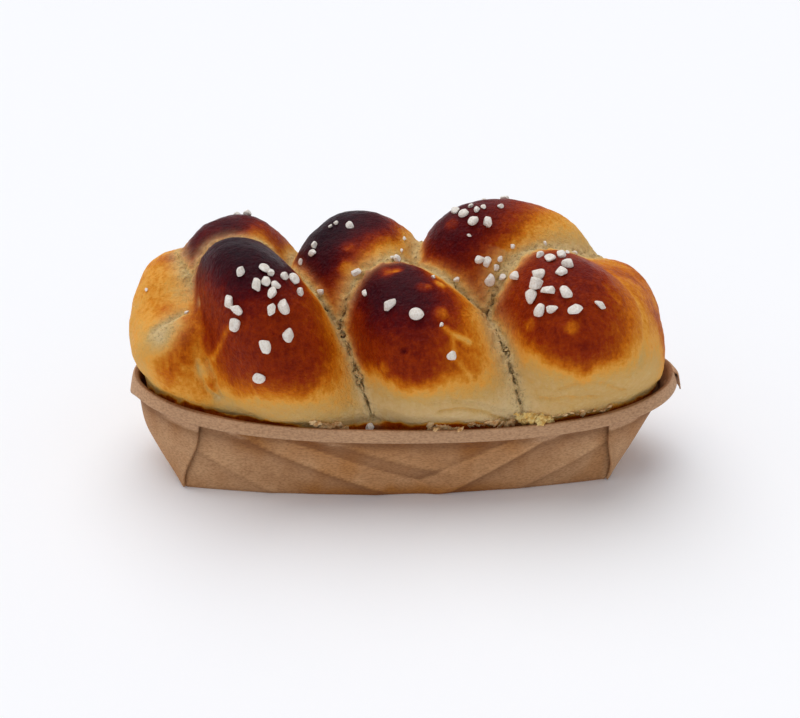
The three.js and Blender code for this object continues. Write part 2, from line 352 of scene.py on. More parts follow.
def bump_of(material, height, strength, millimetres, over=None, invert=False):
    """A normal bumped by a height, over another bump's normal where there is one."""
    node = add_node(material, "ShaderNodeBump", {"invert": invert}, Height=height, Strength=strength,
                    Distance=millimetres * MM)
    if over:
        set_inputs(material, node, Normal=over)
    return node.outputs["Normal"]


def new_material(name):
    """A material with a Principled shader, and the object's own coordinates."""
    material = bpy.data.materials.new(name)
    material.use_nodes = True
    place = add_node(material, "ShaderNodeTexCoord").outputs["Object"]
    return material, material.node_tree.nodes["Principled BSDF"], place


def per_metre(size):
    """A texture scale at which one period of the pattern is this many millimetres."""
    return 1 / (size * MM)


# %% [markdown]
# ## The crust
#
# Brioche crust is pale where the dough tore open late, gold where it was shaded by its neighbours,
# and goes through orange and red brown to nearly black where the egg wash faced the heat. How far it
# baked is worked out on the mesh, as an attribute, and a ramp turns that into colour. The egg wash
# makes the dark parts shine, and the torn parts stay dull. A little light goes through the crumb.

# %% Material: egg-glazed brioche crust
BAKE_COLOURS = [
    (0.05, "#E3C48F"),
    (0.14, "#D8AE68"),
    (0.22, "#E4AA54"),
    (0.28, "#F0A846"),
    (0.34, "#E08C24"),
    (0.41, "#CF6C08"),
    (0.46, "#B45200"),
    (0.54, "#993000"),
    (0.62, "#781800"),
    (0.70, "#5C0404"),
    (0.80, "#42000A"),
    (1.00, "#20000E"),
]
STREAK = (1.2, 1.2, 5.0)
MOTTLE = 2.6
MOTTLE_SHARE = 0.6
NOISE_RANGE = (0.3, 0.7)
UNEVEN_BAKE = (-0.06, 0.06)
FRECKLE = 1.1
FRECKLE_RANGE = (0.35, 0.75)
FRECKLE_BAKE = (0.02, -0.03)
CALM_WHERE_PALE = ((0.0, 0.3), (0.25, 1.0))
TORN_CRUMB = "#E0C48E"
TORN_SHARE = 0.6
PORE = 1.0
PORE_SHADE = "#95764A"
PORE_RANGE = ((0.52, 0.68), (0.0, 0.9))
# The cracks in the grooves get a dark colour as painted shadow.
CRACK_GRAIN = 2.6
CRACK_PAINTED_SHADOW = "#5A4022"
CRACK_OPENS = ((0.5, 0.68), (0.0, 1.2))
CRACK_EDGE = ((-0.2, 0.4), (0.0, 0.7))
GLAZE = ((0.2, 0.6), (0.65, 0.36))
SKIN_WRINKLE = 1.5
ORANGE_PEEL = 0.75


def glazed_crust():
    material, shader, place = new_material("egg-glazed brioche crust")
    baked, torn, seam = attributes_of(material, "bake", "torn", "seam")
    streaks = noise_of(material, drawn_out(material, place, STREAK), 1.0, 3.0)
    mottle = noise_of(material, place, per_metre(MOTTLE), 6.0, 0.65)
    mixed = add_node(material, "ShaderNodeMix", Factor=MOTTLE_SHARE, A=streaks, B=mottle).outputs["Result"]
    uneven = remap(material, mixed, NOISE_RANGE, UNEVEN_BAKE)
    live = remap(material, baked, *CALM_WHERE_PALE)
    level = maths(material, "ADD", baked, maths(material, "MULTIPLY", uneven, live))
    freckles = noise_of(material, place, per_metre(FRECKLE), 3.0, 0.6)
    freckles = remap(material, freckles, FRECKLE_RANGE, FRECKLE_BAKE)
    level = maths(material, "ADD", level, maths(material, "MULTIPLY", freckles, live))
    colour = ramp_of(material, level, BAKE_COLOURS)
    crumb = maths(material, "MULTIPLY", torn, TORN_SHARE)
    colour = mix_colours(material, crumb, colour, linear(TORN_CRUMB))
    pores = noise_of(material, place, per_metre(PORE), 4.0, 0.7)
    specks = maths(material, "MULTIPLY", remap(material, pores, *PORE_RANGE), torn)
    colour = mix_colours(material, specks, colour, linear(PORE_SHADE))
    # Painted shadow: where a groove's crack opens, the colour is darkened towards the crack colour,
    # besides the inward bump.
    ragged = noise_of(material, place, per_metre(CRACK_GRAIN), 5.0, 0.7)
    open_by = maths(material, "SUBTRACT", remap(material, ragged, *CRACK_OPENS), seam)
    crack = remap(material, open_by, *CRACK_EDGE)
    colour = mix_colours(material, crack, colour, linear(CRACK_PAINTED_SHADOW))
    wrinkles = noise_of(material, place, per_metre(SKIN_WRINKLE), 6.0, 0.6)
    normal = bump_of(material, wrinkles, 0.9, 0.7)
    peel = noise_of(material, place, per_metre(ORANGE_PEEL), 3.0)
    normal = bump_of(material, peel, 0.7, 0.35, normal)
    normal = bump_of(material, maths(material, "MULTIPLY", pores, torn), 0.8, 0.5, normal)
    normal = bump_of(material, crack, 1.0, 0.8, normal, invert=True)
    set_inputs(material, shader, Base_Color=colour, Roughness=remap(material, level, *GLAZE),
               IOR=1.4, Specular_IOR_Level=0.1, Subsurface_Weight=0.12,
               Subsurface_Radius=(1.0, 0.5, 0.25), Subsurface_Scale=1.5 * MM, Normal=normal)
    return material


crust = glazed_crust()
print("the crust goes through", len(BAKE_COLOURS), "stages of baking")

# %% [markdown]
# ## The dough
#
# Dough swells into smooth bulges that press on each other, so the loaf is a set of squared-off
# ellipsoids that melt together a little where they meet. Each ellipsoid starts as an icosphere.
# Voxel remeshing makes one skin of them all, evenly meshed, which is what relief needs. It is then
# drawn onto the exact blended shape, because a voxel skin is stepped in the creases.


# %% The shape of one bulge
WAIST_LIMIT = 1.1
BARELY = 1e-9


def bulge_axes(bulge):
    lift = Matrix.Rotation(-math.radians(bulge.get("lift", 0)), 3, "Y")
    turn = Matrix.Rotation(math.radians(bulge.get("turn", 0)), 3, "Z")
    return np.array(turn @ lift)


def draw_in(height):
    """How far the loaf narrows along and across towards the mould, as two factors."""
    under = np.clip((DRAW_IN_FROM - height) / (DRAW_IN_FROM - RIM_HEIGHT_MIDDLE), 0, 1) ** DRAW_IN_POWER
    return 1 - DRAW_IN_LENGTH * under, 1 - DRAW_IN_WIDTH * under


def on_bulge(bulge, directions):
    """Points on a bulge, in unit directions of its own frame."""
    power, half = bulge["power"], np.array(bulge["half"], float)
    spot = directions / (np.abs(directions) ** power).sum(-1, keepdims=True) ** (1 / power)
    waist = 1 - bulge.get("narrow", 0) * spot[:, 2:]
    spot = spot * half * np.concatenate([waist, waist, np.ones_like(waist)], -1)
    spot = spot @ bulge_axes(bulge).T
    spot[:, 0] -= bulge.get("lean", 0) * spot[:, 2]
    spot += np.array(bulge["at"], float)
    along, across = draw_in(spot[:, 2])
    spot[:, 0] *= along
    spot[:, 1] *= across
    return spot


def outside_bulge(bulge, points):
    """About how far outside a bulge each point lies. It is below 0 inside."""
    power, half = bulge["power"], np.array(bulge["half"], float)
    along, across = draw_in(points[:, 2])
    spot = points / np.stack([along, across, np.ones_like(along)], -1) - np.array(bulge["at"], float)
    spot[:, 0] += bulge.get("lean", 0) * spot[:, 2]
    spot = spot @ bulge_axes(bulge)
    waist = 1 - bulge.get("narrow", 0) * np.clip(spot[:, 2:] / half[2], -WAIST_LIMIT, WAIST_LIMIT)
    size = half * np.concatenate([waist, waist, np.ones_like(waist)], -1)
    share = np.abs(spot) / size + BARELY
    level = (share**power).sum(-1) ** (1 / power)
    slope = np.linalg.norm((share / level[:, None]) ** (power - 1) / size, axis=-1)
    return (level - 1) / slope


# %% [markdown]
# The mould held the dough back. Its wall is read once into a table of how far it lies from the
# middle, by angle and height, and the dough is kept inside that with a soft corner, while above the
# rim the table opens out and holds nothing.

# %% The room in the mould
ROOM_ANGLES = 720
ROOM_LEVELS = np.array([0.0, 1.5, 3, 5, 7.5, 10, 13, 16, 19, 22, 25, 28, 31, 34, 38, 44, 52, 70, 110])
ROOM_FLOOR = 1.4
ROOM_FROM_RIM = (-11.0, -3.0, 0.5, 3.0, 7.0, 13.0, 25.0, 75.0)
ROOM_OUTSIDE = (-1.9, -2.6, -2.6, -0.2, 2.6, 6.0, 20.0, 40.0)


def room_table():
    angles = np.linspace(0, 2 * np.pi, 4 * ROOM_ANGLES, endpoint=False)
    even = np.linspace(-np.pi, np.pi, ROOM_ANGLES, endpoint=False)
    top = rim_height(rim_outline(angles)[:, 0])
    rows = []
    for level in ROOM_LEVELS:
        outside = np.interp(level - top, ROOM_FROM_RIM, ROOM_OUTSIDE)
        wall = wall_spot(angles, np.full_like(angles, level), outside)
        around = np.arctan2(wall[:, 1], wall[:, 0])
        order = np.argsort(around)
        reach = np.hypot(wall[:, 0], wall[:, 1])[order]
        rows.append(np.interp(even, around[order], reach, period=2 * np.pi))
    return np.array(rows)


ROOM = room_table()
ROOM_TURN = (np.roll(ROOM, -1, 1) - np.roll(ROOM, 1, 1)) / (4 * np.pi / ROOM_ANGLES)


def outside_room(points):
    """About how far outside the mould's room each point lies."""
    around = (np.arctan2(points[:, 1], points[:, 0]) + np.pi) / (2 * np.pi) * ROOM_ANGLES
    column = np.floor(around).astype(int)
    share = around - column
    left, right = column % ROOM_ANGLES, (column + 1) % ROOM_ANGLES
    level = np.clip(np.searchsorted(ROOM_LEVELS, points[:, 2]) - 1, 0, len(ROOM_LEVELS) - 2)
    up = np.clip((points[:, 2] - ROOM_LEVELS[level]) / np.diff(ROOM_LEVELS)[level], 0, 1)

    def read(table):
        return blend(
            blend(table[level, left], table[level, right], share),
            blend(table[level + 1, left], table[level + 1, right], share),
            up,
        )

    reach, turning = read(ROOM), read(ROOM_TURN)
    sideways = (np.hypot(points[:, 0], points[:, 1]) - reach) / np.sqrt(1 + (turning / reach) ** 2)
    return sideways, ROOM_FLOOR - points[:, 2]


half_way = ROOM[np.searchsorted(ROOM_LEVELS, RIM_HEIGHT_ENDS / 2)]
print("at half its height the room is", round(float(2 * half_way.max())), "mm long")

# %% The shape of the whole loaf
MELT_TOP = 3.6
MELT_FOOT = 13.0
MELT_FROM = 62.0
MELT_RIGHT_END = 12.0
MELT_LEFT_END = 6.0
MOULD_CORNER = 5.0
NAMES = list(BULGES)


def soft_low(a, b, width):
    """The lower of two distances, with a fillet of that width."""
    near = np.maximum(width - np.abs(a - b), 0) / width
    return np.minimum(a, b) - near * near * width / 4


def strand_distances(points):
    """The distance to each bulge, and with the bulges melted together that bear no groove between."""
    distances = {name: outside_bulge(bulge, points) for name, bulge in BULGES.items()}
    right = soft_low(distances["front right"], distances["right end"], MELT_RIGHT_END)
    left = soft_low(distances["left upper"], distances["left lower"], MELT_LEFT_END)
    alone = ("front left", "front middle", "back left", "back middle", "back right")
    return distances, np.array([right, left] + [distances[name] for name in alone])


def outside_loaf(points):
    distances, groups = strand_distances(points)
    melt = blend(MELT_FOOT, MELT_TOP, smooth(points[:, 2], RIM_HEIGHT_MIDDLE, MELT_FROM))
    skin = distances["crumb"]
    for distance in groups:
        skin = soft_low(skin, distance, melt)
    sideways, below = outside_room(points)
    skin = -soft_low(-skin, -sideways, MOULD_CORNER)
    return -soft_low(-skin, -below, MOULD_CORNER)


# %% Remesh the bulges into one skin and draw it onto the exact shape
VOXEL = 0.9
DRAW_STEPS = 6
PROBE = 0.05
LONGEST_STEP = 2.0
LEAST_STEEPNESS = 0.2
BULGE_SUBDIVISIONS = 5


def joined_bulges():
    bm = bmesh.new()
    for bulge in BULGES.values():
        made = bmesh.ops.create_icosphere(bm, subdivisions=BULGE_SUBDIVISIONS, radius=1.0)["verts"]
        directions = np.array([v.co for v in made])
        directions /= np.linalg.norm(directions, axis=-1, keepdims=True)
        for vertex, place in zip(made, on_bulge(bulge, directions)):
            vertex.co = place
    bmesh.ops.scale(bm, vec=(MM, MM, MM), verts=bm.verts)
    mesh = bpy.data.meshes.new("bulges")
    bm.to_mesh(mesh)
    bm.free()
    return mesh


def one_skin(mesh):
    """The voxel remesh of a mesh, as a new mesh."""
    lump = bpy.data.objects.new("lump", mesh)
    bpy.context.scene.collection.objects.link(lump)
    remesh = lump.modifiers.new("one skin", "REMESH")
    remesh.mode = "VOXEL"
    remesh.voxel_size = VOXEL * MM
    skin = bpy.data.meshes.new_from_object(lump.evaluated_get(bpy.context.evaluated_depsgraph_get()))
    bpy.data.objects.remove(lump)
    return skin


def draw_onto(distance, points):
    """Moves points along the slope of a distance until they lie on its surface."""
    for _ in range(DRAW_STEPS):
        here = distance(points)
        slope = np.stack([distance(points + step) - here for step in np.eye(3) * PROBE], -1) / PROBE
        steepness = (slope * slope).sum(-1, keepdims=True)
        step = np.clip(here, -LONGEST_STEP, LONGEST_STEP)[:, None]
        points = points - step * slope / np.maximum(steepness, LEAST_STEEPNESS)
    return points


def mesh_corners(mesh):
    flat = np.empty(len(mesh.vertices) * 3)
    mesh.vertices.foreach_get("co", flat)
    return flat.reshape(-1, 3)


def mesh_normals(mesh):
    flat = np.empty(len(mesh.vertices) * 3)
    mesh.vertex_normals.foreach_get("vector", flat)
    return flat.reshape(-1, 3)


def set_corners(mesh, points):
    mesh.vertices.foreach_set("co", points.ravel())
    mesh.update()


def relaxed(mesh, times):
    """Evens out a mesh by moving each corner halfway to the middle of its neighbours."""
    bm = bmesh.new()
    bm.from_mesh(mesh)
    for _ in range(times):
        bmesh.ops.smooth_vert(
            bm, verts=bm.verts, factor=0.5, use_axis_x=True, use_axis_y=True, use_axis_z=True
        )
    bm.to_mesh(mesh)
    bm.free()


dough = one_skin(joined_bulges())
relaxed(dough, 2)
set_corners(dough, draw_onto(outside_loaf, mesh_corners(dough) / MM) * MM)
relaxed(dough, 1)
set_corners(dough, draw_onto(outside_loaf, mesh_corners(dough) / MM) * MM)
print("the loaf's skin has", len(dough.polygons), "faces")

# %% [markdown]
# ## Marks on the crust
#
# A few marks belong to this one loaf: melted sugar, a pinched fold, creases, a torn seam. Each is
# named by where it is seen in the picture. A ray from the camera finds its place on the dough, and
# the mark spreads from there over the real surface, so it is right from every side.

# %% Find places on the dough
# Where a spot is seen, how wide it is, how much more it baked, how far it stands out, how torn it is.
SPOTS = {
    "first blister": ((422, 288), 2.3, -0.2, 0.3, 0),
    "first blister's pale rim": ((429, 288), 1.4, -0.16, 0.3, 0),
    "second blister": ((439, 285), 2.3, -0.24, 0.35, 0),
    "melted sugar, large": ((440, 314), 2.6, -0.22, 0.35, 0),
    "pit": ((404, 351), 1.0, 0.12, -0.8, 0),
    "ring": ((386, 366), 2.0, -0.13, 0.35, 0),
    "torn skin": ((389, 272), 3.0, -0.36, -0.4, 0),
    "torn skin, far end": ((398, 270), 1.8, -0.26, -0.5, 0),
    "back middle strand, first spot": ((346, 247), 2.4, -0.14, 0.2, 0),
    "back middle strand, second spot": ((346, 268), 2.4, -0.14, 0.2, 0),
    "back right strand's spot": ((452, 225), 2.6, -0.16, 0.2, 0),
    "right strand, first spot": ((572, 328), 2.4, -0.15, 0.2, 0),
    "right strand, second spot": ((530, 325), 2.2, -0.12, 0.15, 0),
    "tongue of the pinched fold, top": ((205, 371), 3.0, -0.08, 0.8, 0),
    "tongue of the pinched fold, foot": ((212, 385), 3.0, 0.06, 0.8, 0),
    "torn patch, top": ((170, 322), 4.4, -0.2, -0.3, 0.7),
    "torn patch, foot": ((160, 336), 4.0, -0.2, -0.4, 0.9),
    "seam of the left strands": ((182, 300), 5.0, -0.12, 0.0, 0.2),
    "flap at the top left": ((166, 258), 4.0, 0.1, 0.9, 0),
    "yellow scar": ((152, 345), 5.0, -0.1, 0.0, 0),
}
# The line along which a crease is seen, how deep and how wide it is, how baked and how torn.
CREASES = {
    "pinched fold, outer line": (((197, 361), (199, 374), (206, 388), (218, 399)), 1.3, 0.9, -0.14, 0),
    "pinched fold, inner line": (((207, 360), (213, 373), (217, 386), (221, 396)), 1.3, 0.8, -0.08, 0),
    # The crease of the left strand is a raised ridge painted paler along its line: a painted highlight.
    "crease of the left strand": (((228, 328), (220, 343), (213, 358)), -0.35, 1.3, -0.15, 0),
    "left end of the front strand": (((198, 300), (199, 325), (198, 350)), 0.3, 1.6, -0.06, 0),
    "torn seam": (((152, 330), (166, 320), (182, 311), (198, 301)), 1.2, 1.2, -0.15, 0.8),
    "sugar streak": (((444, 328), (452, 334), (460, 338), (469, 342)), -0.3, 1.1, -0.2, 0),
    "sugar track": (((452, 340), (454, 352)), 0.1, 1.1, -0.14, 0),
    "sugar trickle": (((456, 360), (464, 369), (471, 377)), -0.15, 0.8, -0.1, 0),
    "long wrinkle": (((284, 335), (289, 347), (292, 362)), 0.25, 0.7, 0.0, 0),
    "wrinkle of the right end": (((603, 283), (611, 293), (619, 303)), 0.4, 0.9, -0.06, 0),
    "fold of the right end": (
        ((608, 268), (625, 285), (640, 308), (645, 335), (641, 362)), 0.6, 1.6, -0.05, 0,
    ),
    "upper flake": (((432, 406), (452, 402), (476, 403), (500, 409), (515, 417)), 0.9, 0.8, 0.0, 0.2),
    "lower flake": (((440, 414), (462, 410), (486, 413), (508, 421)), 1.0, 0.8, 0.1, 0.2),
    "fold at the right foot": (((560, 390), (582, 385), (604, 385), (624, 391)), 0.8, 0.8, 0.06, 0.1),
    "second fold at the right foot": (((540, 398), (566, 398), (596, 399)), 0.8, 0.8, 0.08, 0.2),
    "left foot, first wrinkle": (((228, 398), (240, 408), (254, 414)), 0.4, 0.9, 0.0, 0),
    "left foot, second wrinkle": (((262, 398), (272, 407), (284, 412)), 0.35, 0.9, 0.0, 0),
    "left foot, third wrinkle": (((250, 384), (256, 392), (258, 402)), 0.3, 0.8, -0.04, 0),
}


def surface_tree(mesh):
    bm = bmesh.new()
    bm.from_mesh(mesh)
    tree = BVHTree.FromBMesh(bm)
    bm.free()
    return tree


def seen_at(tree, place):
    """The place, in millimetres, on a surface that the camera sees there in the picture."""
    hit = tree.ray_cast(CAMERA_PLACE * MM, sight(place))[0]
    return np.array(hit) / MM


def to_line(points, line):
    """The distance of each point from a line of several stretches."""
    nearest = np.full(len(points), 1e9)
    for start, end in zip(line, line[1:]):
        along = end - start
        share = np.clip((points - start) @ along / (along @ along), 0, 1)
        nearest = np.minimum(nearest, np.linalg.norm(points - start - share[:, None] * along, axis=-1))
    return nearest


dough_tree = surface_tree(dough)
spot_places = {name: seen_at(dough_tree, spot[0]) for name, spot in SPOTS.items()}
crease_places = {
    name: [seen_at(dough_tree, place) for place in crease[0]] for name, crease in CREASES.items()
}
print("the large drop of melted sugar lies at", spot_places["melted sugar, large"].round(1))

# %% [markdown]
# ## How far each strand baked
#
# The heat came from above. Each bulge has a cap that starts brown at its own height, is darkest at
# the top and stops short of the grooves, where the dough only opened late in the bake.

# %% The baked caps
# For each bulge: how high up the brown starts, is reached, darkens on and is darkest; how brown and how
# dark it gets; how far from its left and right groove it starts and how softly. Some caps reach lower
# towards the left (tilt), change along X, or are blotchy.
CAPS = {
    "front left": dict(rise=(28, 54, 66, 82), shades=(0.58, 0.98), left=(-1, 1.2), right=(3, 5)),
    "front middle": dict(rise=(37, 52, 55, 70), shades=(0.57, 0.86), left=(0.3, 2.5), right=(2.5, 16)),
    "front right": dict(
        rise=(43, 60, 64, 84), shades=(0.57, 0.66), left=(2, 3), right=(2, 5), along=(56, 80, 1, 0.42),
    ),
    "back left": dict(
        rise=(57, 69, 73, 84), shades=(0.58, 0.86), left=(0, 2), right=(1.5, 3), tilt=0.3,
    ),
    "back middle": dict(
        rise=(46, 66, 66, 82), shades=(0.56, 0.98), left=(0, 3), right=(1.5, 10), tilt=0.35,
    ),
    "back right": dict(
        rise=(48, 69, 70, 90), shades=(0.58, 0.8), left=(0, 4), right=(2, 7), tilt=0.45,
        along=(6, 66, 1, 0.5),
    ),
    "left upper": dict(
        rise=(26, 56, 58, 84), shades=(0.28, 0.38), left=(0, 2), right=(0, 2), blotchy=0.26,
    ),
    "left lower": dict(
        rise=(20, 48, 50, 80), shades=(0.42, 0.44), left=(0, 2), right=(0, 1), blotchy=0.24,
        along=(-86, -74, 0.4, 1),
    ),
    "right end": dict(
        rise=(22, 46, 56, 76), shades=(0.4, 0.44), left=(0, 2), right=(0, 2), blotchy=0.22,
    ),
    "crumb": dict(rise=(10, 40, 40, 80), shades=(0.12, 0.2), left=(0, 2), right=(0, 2)),
}
CREAM = 0.13
GROOVE = 0.09
SHARING = 1.6
FAR = 30
MIDDLE_WIDTH = 12
UNEVEN_CAP = 2.6
CAP_PATCH = 13.0
FRAY = 0.9
FRAY_PATCH = 3.0
FRAYED_EDGE = 0.4
BROWNER_BEHIND = 11.0
BEHIND = (18, 32)
BLOTCH = 9.0
FINE_BLOTCHES = 0.5
FLOURY = 0.06
FLOURY_FROM = (-30, 10)
FLOURY_TO = (38, 54)
FLOURY_LOST = 0.9
FLOURY_UP_TO = (30, 42)
SOAKED = 0.5
SOAKED_EDGE = (-0.9, 1.4)
SOAKED_FRAY = 0.5
SOAKED_PATCH = dict(size=3.5, height=0.7)
SEEDS_APART = 17.3
NOISE_SWING = 1.6


def patches(points, size, seed):
    """Smooth random numbers from about -1 to 1, in patches of that size."""
    places = points / size + seed * SEEDS_APART
    return np.array([noise.noise(Vector(place)) for place in places]) * NOISE_SWING


def groove_gap(groups):
    """How much farther the second nearest strand is than the nearest one. It is 0 in a groove.

    The front left strand is pressed so tightly onto the left ones that it didn't tear there."""
    tight = np.minimum(groups[1], groups[2])
    nearest = np.sort(np.concatenate([groups[:1], tight[None], groups[3:]]), axis=0)
    return nearest[1] - nearest[0]


def baked(points, distances, gap):
    """How far the crust has baked, from 0 for dough to 1 for the darkest glaze."""
    weights = np.array([np.exp(-np.clip(distances[name], -FAR, FAR) / SHARING) for name in NAMES])
    weights /= weights.sum(0)
    ragged = patches(points, CAP_PATCH, 1) * UNEVEN_CAP + patches(points, FRAY_PATCH, 7) * FRAY
    uneven = ragged + BROWNER_BEHIND * smooth(points[:, 1], *BEHIND)
    blotches = patches(points, BLOTCH, 12) + FINE_BLOTCHES * patches(points, BLOTCH / 3, 13)
    frayed = FRAYED_EDGE * ragged
    total = np.zeros(len(points))
    for weight, name in zip(weights, NAMES):
        cap, middle = CAPS[name], BULGES[name]["at"][0]
        low, browned, dark, top = cap["rise"]
        brown, darkest = cap["shades"]
        height = points[:, 2] + cap.get("tilt", 0) * (middle - points[:, 0]) + uneven
        rightwards = smooth(points[:, 0] - middle, -MIDDLE_WIDTH, MIDDLE_WIDTH)
        pale = blend(cap["left"][0], cap["right"][0], rightwards)
        fade = blend(cap["left"][1], cap["right"][1], rightwards)
        edge = 1 - np.exp(-np.maximum(gap + frayed - pale, 0) / fade)
        browning = (brown - CREAM) * smooth(height, low, browned)
        browning += (darkest - brown) * smooth(height, dark, top)
        if "along" in cap:
            start, end, first, last = cap["along"]
            browning *= blend(first, last, smooth(points[:, 0] + frayed, start, end))
        browning *= 1 + cap.get("blotchy", 0) * blotches
        total += weight * blend(GROOVE, CREAM + browning, edge)
    floury = smooth(points[:, 0], *FLOURY_FROM) * (1 - FLOURY_LOST * smooth(points[:, 0], *FLOURY_TO))
    total -= FLOURY * (1 - smooth(points[:, 2], *FLOURY_UP_TO)) * floury
    below_rim = rim_height(points[:, 0]) - points[:, 2] + SOAKED_FRAY * ragged
    below_rim += patches(points, SOAKED_PATCH["size"], 9) * SOAKED_PATCH["height"]
    return np.maximum(total, SOAKED * smooth(below_rim, *SOAKED_EDGE))


distances, groups = strand_distances(mesh_corners(dough) / MM)
gap = groove_gap(groups)
bake = baked(mesh_corners(dough) / MM, distances, gap)
print("the darkest crust has baked to", round(float(bake.max()), 2))

# %% [markdown]
# ## Relief
#
# The skin of a brioche isn't smooth: it is softly lumpy, finely wrinkled where it dried, torn and
# fibrous in the grooves, and it opens in small pits. All of this is moved into the mesh, so it
# shows in the outline and from every side, and only what is finer than the mesh is left to bump.

# %% Relief of the skin, the grooves and the marks
LUMPS = dict(size=19.0, height=0.7)
RIPPLES = dict(size=5.5, height=0.2)
GRAIN = dict(size=2.0, height=0.1)
LAYERS = dict(size=2.4, stretch=0.2, height=0.28, foot=30, up_to=44)
TEAR_NARROW = 2.8
TEAR_WIDE = 5.5
WIDE_GROOVE = dict(middle=31, half=15)
TEAR_GRAIN = 1.7
TEAR_HEIGHT = 0.95
SHARP_EDGED = 3
CRACK = dict(width=0.9, depth=1.0, patch=3.0, broken=(-0.4, 0.6))
MOULD_EDGE = (-1.0, 3.0)
SOFT_IN_MOULD = 0.7
FLAT_IN_MOULD = 0.5
UNCRACKED = 10
HIGH_UP = (58, 70)
BACK_FROM = -22
FEWER_CRACKS = 0.7


def relief(points, gap, soft):
    """How far the skin stands out at points, and how open the dough is there."""
    lift = np.zeros(len(points))
    for seed, form in ((2, LUMPS), (3, RIPPLES), (4, GRAIN)):
        lift += patches(points, form["size"], seed) * form["height"]
    level = np.array([LAYERS["stretch"], LAYERS["stretch"], 1])
    at_foot = 1 - smooth(points[:, 2], LAYERS["foot"], LAYERS["up_to"])
    lift += patches(points * level, LAYERS["size"], 10) * LAYERS["height"] * at_foot
    wide = np.exp(-(((points[:, 0] - WIDE_GROOVE["middle"]) / WIDE_GROOVE["half"]) ** 2))
    wide *= points[:, 1] < 0
    open_dough = np.exp(-((gap / blend(TEAR_NARROW, TEAR_WIDE, wide)) ** 2)) * (1 - soft)
    lift += patches(points, TEAR_GRAIN, 5) * TEAR_HEIGHT * open_dough
    broken = smooth(patches(points, CRACK["patch"], 6), *CRACK["broken"])
    lift -= np.exp(-((gap / CRACK["width"]) ** 2)) * CRACK["depth"] * broken * (1 - soft)
    return lift, open_dough


def apply_marks(points, lift, bake, torn):
    """Adds the marks to how far the skin stands out, has baked and is torn."""
    for name, (_, size, browner, height, rough) in SPOTS.items():
        away = np.linalg.norm(points - spot_places[name], axis=-1) / size
        share = np.exp(-(away ** (4 if size < SHARP_EDGED else 2)))
        bake += browner * share
        lift += height * share
        torn += rough * share
    for name, (_, deep, wide, browner, rough) in CREASES.items():
        share = np.exp(-((to_line(points, crease_places[name]) / wide) ** 2))
        lift -= deep * share
        bake += browner * share
        torn += rough * share
    return lift, bake, torn


def write_attributes(mesh, **layers):
    """Writes a number for each corner of a mesh, for its material."""
    for name, values in layers.items():
        mesh.attributes.new(name, "FLOAT", "POINT").data.foreach_set("value", values)


points = mesh_corners(dough) / MM
inside_mould = smooth(rim_height(points[:, 0]) - points[:, 2], *MOULD_EDGE)
lift, torn = relief(points, gap, inside_mould * SOFT_IN_MOULD)
lift, bake, torn = apply_marks(points, lift, bake, torn)
lift *= 1 - FLAT_IN_MOULD * inside_mould
set_corners(dough, (points + mesh_normals(dough) * lift[:, None]) * MM)

high_up = smooth(points[:, 2], *HIGH_UP) * (points[:, 1] > BACK_FROM)
seam = gap + UNCRACKED * inside_mould + FEWER_CRACKS * high_up
write_attributes(dough, bake=bake, torn=np.clip(torn, 0, 1), seam=seam)
loaf = show_mesh("braided_loaf", dough, crust, ("loaf",))
print("the relief goes from", round(float(lift.min()), 2), "to", round(float(lift.max()), 2), "mm")

# %% [markdown]
# ## Kraft paper
#
# The mould is unbleached kraft paper: long brown fibres pressed into a sheet, so the colour is
# uneven along them and specked with darker bits. Butter has soaked into it in places, where it is
# darker and more orange. Grease is kept off the folded rim, and the rim is painted paler as painted
# light, for the band catching more light than the wall below it.

# %% Material: unbleached kraft paper
FIBRE = (0.6, 0.6, 0.28)
FIBRE_NOISE = 0.6
FIBRE_SHARE = 0.8
CLOUD = 9.0
PAPER_SHADES = [(0.3, "#CC9A6A"), (0.7, "#E0B284")]
RIM_PAINTED_LIGHT = "#DCB088"
GREASY_PAPER = "#C07E34"
FIBRE_SHADES = [(0.3, "#CFC3B7"), (0.6, "#FFFFFF")]
FOLD_PAINTED_SHADING = [(0.0, "#B9AB9C"), (0.5, "#E9E4DE"), (1.0, "#FFFFFF")]


def kraft_paper():
    material, shader, place = new_material("unbleached kraft paper, folded")
    grease, rim, fold = attributes_of(material, "grease", "rim", "fold")
    fibres = noise_of(material, drawn_out(material, place, FIBRE), FIBRE_NOISE, 4.0)
    cloud = noise_of(material, place, per_metre(CLOUD), 4.0)
    colour = ramp_of(material, cloud, PAPER_SHADES)
    # Painted light: the turned-over rim band is painted paler than the wall, for the extra light it
    # catches.
    colour = mix_colours(material, rim, colour, linear(RIM_PAINTED_LIGHT))
    colour = mix_colours(material, grease, colour, linear(GREASY_PAPER))
    shade = ramp_of(material, fibres, FIBRE_SHADES)
    colour = mix_colours(material, FIBRE_SHARE, colour, shade, "MULTIPLY")
    # Painted shading: the fold attribute multiplies the colour darker on crease flanks turned from the
    # light and under the band, lighter on flanks facing it.
    painted_shading = ramp_of(material, remap(material, fold, (-1.0, 1.0), (0.0, 1.0)), FOLD_PAINTED_SHADING)
    colour = mix_colours(material, 1.0, colour, painted_shading, "MULTIPLY")
    normal = bump_of(material, fibres, 0.4, 0.3)
    set_inputs(material, shader, Base_Color=colour, Roughness=0.75, Normal=normal)
    return material


paper = kraft_paper()
print("the paper's fibres are", FIBRE, "mm fine along X, Y and Z")

# %% [markdown]
# ## The paper mould
#
# The real mould is one sheet. Its walls fan out, the spare paper at each corner is folded flat
# against the long side as a gusset, and the rim is a band turned over outwards. Here each layer
# starts as a flat grid, is rolled round the outline by the wall function, and is extruded inwards to
# the thickness of the paper.

